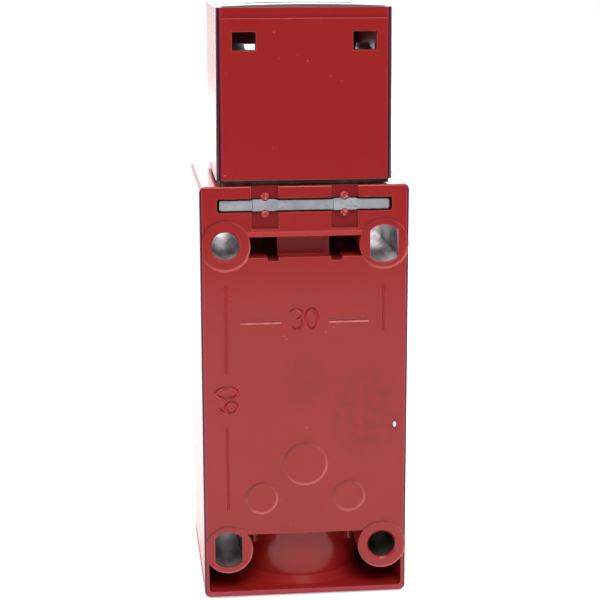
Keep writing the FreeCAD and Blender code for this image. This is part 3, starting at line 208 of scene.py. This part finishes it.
RED = (159, 34, 34)
COAT, MARK_COAT = 0.8, 0.3
CHIP = (244, 232, 228)
FLAT = (1, 0, 1)              # keeps what lies along the mounting side


def enamel(name, side=None, rounding=0.25 * MM):
    """Stoved red paint over a die casting: faint orange peel, dust specks, thin pale edges that
    are partly rubbed and partly a painted highlight.

    Where side is given, the mounting side's corners beyond it get a painted pink reflection and,
    at their very edge, a dark painted reflection line, and are not rubbed.
    """
    paint = Finish(name, RED, roughness=0.5, specular_ior_level=0.05, coat_weight=COAT,
                   coat_roughness=0.17, coat_ior=1.5)
    paint.soften(rounding)
    cloud = paint.noise(9 * MM, detail=3)
    tone = paint.blend(cloud, linear((155, 31, 31)), linear((164, 37, 37)))
    specks = paint.step(paint.noise(0.34 * MM, detail=1), 0.76, 0.8)
    patches = paint.step(paint.noise(5 * MM, detail=2, shift=(3, 1, 7)), 0.54, 0.64)
    tone = paint.stain(tone, (196, 104, 104), specks, patches)
    # pale sharp edges: partly rubbed paint, partly a painted highlight on the rounded edges
    rubbed = paint.product(paint.edges(0.3 * MM),
                           paint.level(paint.noise(1.6 * MM, detail=4), 0.25, 0.9))
    if side:
        apart = paint.math("ABSOLUTE", paint.axis("X"))
        front = paint.past("Y", CORNER_FOOT, 0.3 * MM)
        corner_reflection = paint.product(front, paint.step(apart, side, side + 0.2 * MM))
        rubbed = paint.product(rubbed, paint.level(corner_reflection, 1.0, 0.0))
        # painted reflections on the corners: a pink band, then a dark line at their very edge
        tone = paint.stain(tone, (186, 58, 82), corner_reflection, 0.5)
        tone = paint.stain(tone, (62, 18, 40), front,
                           paint.step(apart, side + 0.3 * MM, side + 0.45 * MM))
    tone = paint.stain(tone, (226, 128, 130), rubbed)
    paint.feed("Base Color", tone)
    gloss = paint.level(paint.noise(2.5 * MM, detail=4), 0.36, 0.5)
    paint.feed("Roughness", gloss)
    paint.bump(paint.noise(0.55 * MM, detail=2), 0.012 * MM)
    paint.bump(specks, 0.02 * MM)
    return paint, tone, gloss


def mark_enamel(name, lit, highlight_spread):
    """The same paint on raised lines: painted shade on their upper flanks, painted highlights on
    the lower.
    """
    paint, tone, _ = enamel(name, rounding=0.05 * MM)
    paint.shader.inputs["Coat Weight"].default_value = MARK_COAT
    up = paint.add("SeparateXYZ", {0: paint.add("NewGeometry").outputs["Normal"]}).outputs["Z"]
    # painted shade on upward faces, painted highlights on downward faces; the third argument sets
    # the range of the highlights' strength
    painted_shade = paint.step(up, 0.1, 0.55)
    painted_highlight = paint.product(paint.step(up, 0.1, -0.3), paint.level(
        paint.step(paint.noise(1.0 * MM, detail=3), 0.35, 0.65), *highlight_spread))
    tone = paint.stain(tone, lit, painted_highlight)
    paint.feed("Base Color", paint.stain(tone, (98, 20, 28), painted_shade, 0.75))
    return paint


def scuffs(paint, tone):
    """Smudges, and a chip down to the metal with a dark rim."""
    film = paint.step(paint.noise(0.8 * MM, detail=9), 0.36, 0.62)
    for centre, reach, soft in SMUDGES:
        tone = paint.stain(tone, (134, 34, 33), film,
                           paint.near(centre, reach, soft, (1, 0.1, 0.8)), 0.55)
    for reach, colour in ((CHIP_RIM, (104, 26, 32)), (CHIP_BARE, CHIP)):
        tone = paint.stain(tone, colour,
                           paint.near(CHIP_PLACE, reach, CHIP_FADE, (1, 0.2, 0.55)))
    return tone


def rim_light_and_shade(paint, tone, middle, radius):
    """A cast ring's rim: painted shade on the upper left of it, and a painted highlight towards
    the bottom.
    """
    across, up = middle
    away = paint.vector("MULTIPLY", paint.vector("SUBTRACT", paint.place, (across, WEB, up)),
                        FLAT)
    off = paint.add("Math", {0: paint.length(away), 1: radius}, operation="SUBTRACT").outputs[0]
    line = paint.step(paint.add("Math", {0: off}, operation="ABSOLUTE").outputs[0],
                      RING_LINE, 0.3 * RING_LINE)
    line = paint.product(line, paint.past("Y", -0.6 * MM, 0.2 * MM))
    lean = paint.add("VectorMath", {0: away, 1: RING_SHADE_SIDE}, operation="DOT_PRODUCT"
                     ).outputs["Value"]
    # painted highlight on the lower part of the rim, then painted shade on its upper left
    tone = paint.stain(tone, (222, 112, 112), line,
                       paint.step(lean, 0.1 * radius, -0.9 * radius), 0.7)
    return paint.stain(tone, (104, 22, 30), line,
                       paint.step(lean, 0.3 * radius, 0.9 * radius), 0.5)


def recess_shade_and_edge_highlights(paint, tone):
    """Painted shade in the recesses round the stakes, and painted highlights on the two long thin
    edges.
    """
    aside = paint.math("ABSOLUTE", paint.axis("X"))
    tone = paint.stain(tone, (126, 18, 26), paint.past("Y", -0.5 * MM, -0.4 * MM),
                       paint.past("Z", RECESS_LOW, 0.2 * MM),
                       paint.past("Y", RECESS_FOOT, 0.4 * MM),
                       paint.step(aside, RECESS_ACROSS + 0.4 * MM, RECESS_ACROSS), 0.55)
    # painted highlights along the lower pocket's lip and the rail over the window
    face = paint.past("Y", CORNER_FOOT + 0.1 * MM, 0.2 * MM)
    tone = paint.stain(tone, (196, 58, 82), face, paint.past("Z", LIP_UP, -0.2 * MM), 0.5)
    return paint.stain(tone, (204, 66, 70), face, paint.past("Z", RAIL_LOW, 0.1 * MM),
                       paint.past("Z", RAIL_HIGH, -0.1 * MM),
                       paint.step(aside, RAIL_ACROSS + 0.3 * MM, RAIL_ACROSS), 0.5)


def stake_highlights(paint, tone, folded):
    """The punched stakes that hold the fork, painted pale as highlights, the same on both sides
    of the middle.
    """
    highlight_grain = paint.step(paint.noise(0.3 * MM, detail=3, shift=(4, 4, 1)), 0.42, 0.58)
    mirrored = paint.add("CombineXYZ", {
        "X": paint.add("SeparateXYZ", {0: folded}).outputs["X"], "Y": paint.axis("Y"),
        "Z": paint.axis("Z")}).outputs[0]
    for up in STAKE_UPS:
        stake = paint.near((STAKE_ACROSS, WEB, up), STAKE_RADIUS, 0.12 * MM, (1, 0.3, 1),
                           mirrored)
        # a speckled painted highlight on each stake
        tone = paint.stain(tone, (206, 112, 112), stake, highlight_grain)
    return tone


def bore_metal(paint, streaks):
    """Machined metal, with painted shade in the lower fixing holes, darkest in the one at low X.
    """
    metal = paint.blend(streaks, linear((124, 118, 120)), linear((244, 238, 242)))
    # painted shade: darker towards the bottom, and darker still at low X
    painted_shade = paint.past("Z", 0.0, -20 * MM)
    metal = paint.stain(metal, (84, 76, 78), painted_shade, 0.6)
    return paint.stain(metal, (44, 38, 40), painted_shade, paint.past("X", 0.0, -8 * MM), 0.7)


def housing_enamel():
    """The body's paint, with machined fixing holes left bare, smudges and a chip, and painted
    light and shade on the mounting side.
    """
    paint, tone, gloss = enamel("housing_enamel", BODY_REFLECTION_EDGE)
    folded = paint.vector("ABSOLUTE", paint.place)
    level = paint.vector("MULTIPLY", paint.vector("SUBTRACT", folded, (FIX_ACROSS, 0, FIX_UP)),
                         FLAT)
    bare = paint.product(paint.math("LESS_THAN", paint.length(level), FIX_REACH),
                         paint.past("Y", CHAMFER_FOOT, -0.15 * MM))
    streaks = paint.step(paint.noise(1.3 * MM, detail=6, stretch=(1, 3, 1)), 0.2, 0.7)

    tone = scuffs(paint, tone)
    for middle, radius in CAST_RINGS:
        tone = rim_light_and_shade(paint, tone, middle, radius)
    tone = recess_shade_and_edge_highlights(paint, tone)
    tone = stake_highlights(paint, tone, folded)
    paint.feed("Base Color", paint.blend(bare, tone, bore_metal(paint, streaks)))

    paint.feed("Metallic", paint.product(bare, 0.75))
    foot = paint.product(paint.past("Y", -1.8 * MM, -0.6 * MM),
                         paint.past("Z", BOSS_FOOT, -0.6 * MM))
    paint.feed("Coat Weight", paint.product(paint.level(bare, COAT, 0.0),
                                            paint.level(foot, 1.0, 0.2)))
    paint.feed("Roughness", paint.math("MAXIMUM", gloss, paint.product(
        bare, paint.level(streaks, 0.6, 0.46))))
    return paint


def metal_finish(name, dark, light, grain, stretch, roughness, peel=0.006 * MM, metallic=1.0):
    """A plated or ground metal: streaks along its grain, uneven gloss and softened edges."""
    metal = Finish(name, light, metallic=metallic)
    metal.soften(0.08 * MM)
    streaks = metal.noise(grain, detail=5, stretch=stretch)
    cloud = metal.noise(8 * grain, detail=3, shift=(5, 2, 8))
    tone = metal.blend(streaks, linear(dark), linear(light))
    metal.feed("Base Color", metal.blend(metal.math("MULTIPLY", cloud, 0.35), tone,
                                         linear(dark)))
    metal.feed("Roughness", metal.level(streaks, *roughness))
    metal.bump(streaks, peel)
    return metal


def galvanised():
    """Hot-dipped strip: blotchy spangle, dark scratches across it and rubbed edges."""
    metal = Finish("galvanised", (150, 153, 160), metallic=0.55)
    metal.soften(0.15 * MM)
    cloud = metal.noise(1.4 * MM, detail=4)
    tone = metal.blend(cloud, linear((140, 144, 152)), linear((200, 203, 208)))
    scratches = metal.step(metal.noise(0.32 * MM, detail=5, stretch=(2.6, 1, 0.8)), 0.62, 0.72)
    tone = metal.blend(metal.math("MULTIPLY", scratches, 0.6), tone, linear((74, 72, 76)))
    metal.feed("Base Color", tone)
    metal.feed("Roughness", metal.level(cloud, 0.38, 0.6))
    metal.bump(cloud, 0.05 * MM)
    metal.bump(scratches, -0.02 * MM)
    return metal


def plastic(name, dark, light, roughness, peel=0.01 * MM, **sockets):
    """Moulded plastic: faint flow marks and a fine spark-eroded skin."""
    skin = Finish(name, light, **sockets)
    skin.soften(0.12 * MM)
    flow = skin.noise(4 * MM, detail=3, stretch=(1, 1, 2))
    skin.feed("Base Color", skin.blend(flow, linear(dark), linear(light)))
    skin.feed("Roughness", skin.level(skin.noise(0.4 * MM, detail=3), *roughness))
    skin.bump(skin.noise(0.12 * MM, detail=2), peel)
    return skin


def rubber():
    """Black nitrile: matt, a little dusty, with a soft moulded skin."""
    skin = Finish("rubber", (26, 26, 27), sheen_weight=0.12, sheen_roughness=0.5)
    skin.soften(0.12 * MM)
    dust = skin.noise(1.2 * MM, detail=5)
    skin.feed("Base Color", skin.blend(skin.step(dust, 0.45, 0.8), linear((22, 22, 23)),
                                       linear((58, 57, 56))))
    skin.feed("Roughness", skin.level(dust, 0.6, 0.82))
    skin.bump(skin.noise(0.2 * MM, detail=3), 0.012 * MM)
    return skin


FINISHES = {
    "red_paint": enamel("enamel")[0],
    "galvanised_steel": galvanised(),
    "plate_steel": metal_finish("brushed_plate", (140, 140, 145), (194, 194, 199),
                                0.16 * MM, (14, 1, 1), (0.34, 0.5), metallic=0.75),
    "screw_steel": metal_finish("zinc_plated", (150, 150, 150), (214, 214, 212),
                                0.3 * MM, (1, 1, 1), (0.2, 0.42)),
    "spring_steel": metal_finish("drawn_wire", (128, 128, 132), (196, 196, 200),
                                 0.1 * MM, (1, 1, 3), (0.22, 0.4)),
    "rotor_steel": metal_finish("sintered", (120, 120, 122), (186, 186, 190),
                                0.14 * MM, (1, 1, 1), (0.3, 0.5), 0.02 * MM),
    "cast_zinc": metal_finish("die_cast", (132, 133, 136), (184, 185, 188),
                              0.5 * MM, (1, 1, 1), (0.38, 0.58), 0.02 * MM),
    "contact_metal": metal_finish("stamped_brass", (176, 142, 74), (224, 196, 120),
                                  0.2 * MM, (3, 1, 1), (0.22, 0.4)),
    "black_rubber": rubber(),
    "block_plastic": plastic("block_moulding", (28, 28, 30), (40, 40, 43), (0.42, 0.6)),
    "clear_lid": plastic("lid_moulding", (196, 198, 196), (224, 226, 224), (0.14, 0.26),
                         0.004 * MM, transmission_weight=0.75, ior=1.49),
    "carrier_plastic": plastic("carrier_moulding", (206, 202, 188), (228, 225, 214),
                               (0.4, 0.55)),
}
FIGURE_PAINT = mark_enamel("figure_enamel", (214, 92, 94), (0.1, 0.7))
DASH_PAINT = mark_enamel("dash_enamel", (232, 132, 136), (0.6, 1.0))
RULE_PAINT = mark_enamel("rule_enamel", (186, 66, 68), (0.2, 0.6))
COATS = {"housing": housing_enamel(), "head_housing": enamel("head_enamel", HEAD_REFLECTION_EDGE)[0]}


def dress_nodes():
    """Gives every CAD piece the finish of its slot, and the castings their own coats."""
    for name, node in nodes.items():
        for slot in node.material_slots:
            finish = COATS.get(name) or FINISHES[slot.material.name]
            slot.material = finish.material


# ---------------------------------------------------------------- raised figures and lines

MARK_PROUD = 0.22 * MM
STROKE = 0.8 * MM
DIGIT_HIGH, DIGIT_WIDE = 4.0 * MM, 2.2 * MM


def arc(centre, radii, start, stop, count=12):
    """Points of an elliptical arc from start to stop degrees, anticlockwise when stop is more."""
    turns = [math.radians(start + (stop - start) * i / count) for i in range(count + 1)]
    return [(centre[0] + radii[0] * math.cos(t), centre[1] + radii[1] * math.sin(t))
            for t in turns]


def digit(figure):
    """The centre lines of a drafting figure round its own middle: across to the right, and up."""
    half, high = DIGIT_WIDE / 2, DIGIT_HIGH / 2
    if figure == "0":
        return [arc((0, 0), (half, high), 90, 450, 24)]
    if figure == "3":
        lobe = (half * 0.95, high / 2)
        return [arc((0, high / 2), lobe, 155, -80) + arc((0, -high / 2), lobe, 80, -155)]
    if figure == "6":
        bowl = high * 0.58
        return [arc((0, bowl - high), (half, bowl), 180, 540, 20),
                arc((half * 0.9, bowl - high), (1.9 * half, 2 * high - bowl), 180, 118, 10)]
    raise ValueError(figure)


def bead(name, lines, width, paint):
    """Raised round-backed lines cast on the mounting side, through points (right, up)."""
    curve = bpy.data.curves.new(name, "CURVE")
    curve.dimensions = "3D"
    curve.bevel_depth = width / 2
    curve.bevel_resolution = 3
    curve.use_fill_caps = True
    for points in lines:
        spline = curve.splines.new("POLY")
        spline.points.add(len(points) - 1)
        for point, (right, up) in zip(spline.points, points):
            point.co = (-right, WEB + MARK_PROUD - width / 2, up, 1)
    piece = bpy.data.objects.new(name, curve)
    bpy.context.scene.collection.objects.link(piece)
    piece.data.materials.append(paint.material)
    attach(piece, "body")


def figures(name, text, middle, quarter_turns=0):
    """Figures side by side round a middle point, turned anticlockwise by quarter turns."""
    pitch = DIGIT_WIDE + 0.75 * MM
    lines = []
    for index, figure in enumerate(text):
        start = (index - (len(text) - 1) / 2) * pitch
        for points in digit(figure):
            moved = [(start + right, up) for right, up in points]
            for _ in range(quarter_turns):
                moved = [(-up, right) for right, up in moved]
            lines.append([(middle[0] + right, middle[1] + up) for right, up in moved])
    bead(name, lines, STROKE, FIGURE_PAINT)


def markings():
    """The spacings of the fixing holes in millimetres, with their dimension lines."""
    line_up = 15.3 * MM
    figures("figure_across", "30", (-0.2 * MM, 15.65 * MM))
    figures("figure_up", "60", (-FIX_ACROSS, 0.1 * MM), 1)
    bead("dashes", [[(-12.3 * MM, line_up), (-4.6 * MM, line_up)],
                    [(4.5 * MM, line_up), (12.1 * MM, line_up)]], 1.15 * MM,
         DASH_PAINT)
    bead("rules", [[(-FIX_ACROSS, 22.8 * MM), (-FIX_ACROSS, 5.0 * MM)],
                   [(-FIX_ACROSS, -5.2 * MM), (-FIX_ACROSS, -22.0 * MM)],
                   [(FIX_ACROSS, 22.3 * MM), (FIX_ACROSS, 13.1 * MM)]], 0.55 * MM,
         RULE_PAINT)


# ---------------------------------------------------------------- floor, light and camera

LOOK_AT = Vector((0.57, -4.1, 18.6)) * MM
AZIMUTH, ELEVATION, ROLL = 174.03, 12.29, -0.13
DISTANCE = 314.3 * MM
LENS, SENSOR = 98.46, 36
TABLE_ENDS, TABLE_BACK, TABLE_FRONT = 1.6, -2.6, 0.32
TABLE_GAP = 0.02 * MM         # keeps the table out of the plane of the switch's underside
TABLE_WHITE = 0.5
BEHIND, DARK_SIDE = 0.0, 0.55                   # between these the room goes from white to dim
ROOM_WHITE, ROOM_DIM = 1.0, 0.08
LAMPS = (("overhead", (-0.05, 0.55, 0.7), 0.45, 5.8),           # place, size and watts
         ("behind_left", (0.55, -0.75, 0.25), 0.6, 5.0),
         ("top_back", (-0.1, -0.35, 0.75), 0.5, 1.5),
         ("backdrop", (-0.1, -1.1, 0.47), 0.6, 2.7))


def light_path_white(finish, share, strength):
    """A strength for the camera, and the same times a share for gloss and for glass."""
    path = finish.add("LightPath").outputs
    seen = finish.math("MAXIMUM", path["Is Glossy Ray"], path["Is Transmission Ray"])
    total = finish.math("MAXIMUM", finish.math("MULTIPLY", seen, share), path["Is Camera Ray"])
    return finish.math("MULTIPLY", total, strength)


def floor():
    """A pale table top that ends a little in front of the switch, where the room is darker."""
    low = cad_box[0][2] - TABLE_GAP
    mesh = bpy.data.meshes.new("floor")
    mesh.from_pydata([(-TABLE_ENDS, TABLE_BACK, low), (TABLE_ENDS, TABLE_BACK, low),
                      (TABLE_ENDS, TABLE_FRONT, low), (-TABLE_ENDS, TABLE_FRONT, low)],
                     [], [(0, 1, 2, 3)])
    table = bpy.data.objects.new("floor", mesh)
    bpy.context.scene.collection.objects.link(table)
    finish = Finish("table_top", (236, 236, 236), roughness=0.9, specular_ior_level=0.0)
    cloud = finish.noise(0.4, detail=2)
    finish.feed("Base Color", finish.blend(cloud, linear((234, 234, 234)),
                                           linear((238, 238, 238))))
    finish.shader.inputs["Emission Color"].default_value = (1, 1, 1, 1)
    share = finish.step(finish.axis("Y"), 0.16, -0.08)
    finish.feed("Emission Strength", light_path_white(finish, share, TABLE_WHITE))
    mesh.materials.append(finish.material)


def room():
    """White for the camera and behind the switch, dimmer on the camera's side."""
    world = bpy.data.worlds.new("room")
    bpy.context.scene.world = world
    world.use_nodes = True
    tree = world.node_tree
    background = tree.nodes["Background"]
    background.inputs["Color"].default_value = (1, 1, 1, 1)
    coords = tree.nodes.new("ShaderNodeTexCoord")
    split = tree.nodes.new("ShaderNodeSeparateXYZ")
    tree.links.new(coords.outputs["Generated"], split.inputs[0])
    fade = tree.nodes.new("ShaderNodeMapRange")
    fade.interpolation_type = "SMOOTHSTEP"
    for socket, value in (("From Min", BEHIND), ("From Max", DARK_SIDE),
                          ("To Min", ROOM_WHITE), ("To Max", ROOM_DIM)):
        fade.inputs[socket].default_value = value
    tree.links.new(split.outputs["Y"], fade.inputs["Value"])
    path = tree.nodes.new("ShaderNodeLightPath")
    brighter = tree.nodes.new("ShaderNodeMath")
    brighter.operation = "MAXIMUM"
    tree.links.new(fade.outputs["Result"], brighter.inputs[0])
    tree.links.new(path.outputs["Is Camera Ray"], brighter.inputs[1])
    tree.links.new(brighter.outputs[0], background.inputs["Strength"])


def lamp(name, place, size, power):
    """A soft square lamp that faces the switch's middle."""
    light = bpy.data.lights.new(name, "AREA")
    light.size = size
    light.energy = power
    lantern = bpy.data.objects.new(name, light)
    lantern.location = place
    lantern.rotation_euler = (LOOK_AT - Vector(place)).to_track_quat("-Z", "Y").to_euler()
    bpy.context.scene.collection.objects.link(lantern)


def camera():
    """The camera, by where it stands round the switch's middle."""
    lens = bpy.data.cameras.new("camera")
    lens.lens = LENS
    lens.sensor_width = SENSOR
    viewer = bpy.data.objects.new("camera", lens)
    azimuth, elevation = math.radians(AZIMUTH), math.radians(ELEVATION)
    towards = Vector((math.sin(azimuth) * math.cos(elevation),
                      -math.cos(azimuth) * math.cos(elevation), math.sin(elevation)))
    viewer.location = LOOK_AT + towards * DISTANCE
    aim = (-towards).to_track_quat("-Z", "Y").to_matrix().to_4x4()
    viewer.rotation_euler = aim.to_euler()
    viewer.rotation_euler.rotate_axis("Z", math.radians(ROLL))
    bpy.context.scene.collection.objects.link(viewer)
    bpy.context.scene.camera = viewer


dress_nodes()
markings()
floor()
room()
for values in LAMPS:
    lamp(*values)
camera()

bpy.context.scene.view_settings.view_transform = "Standard"
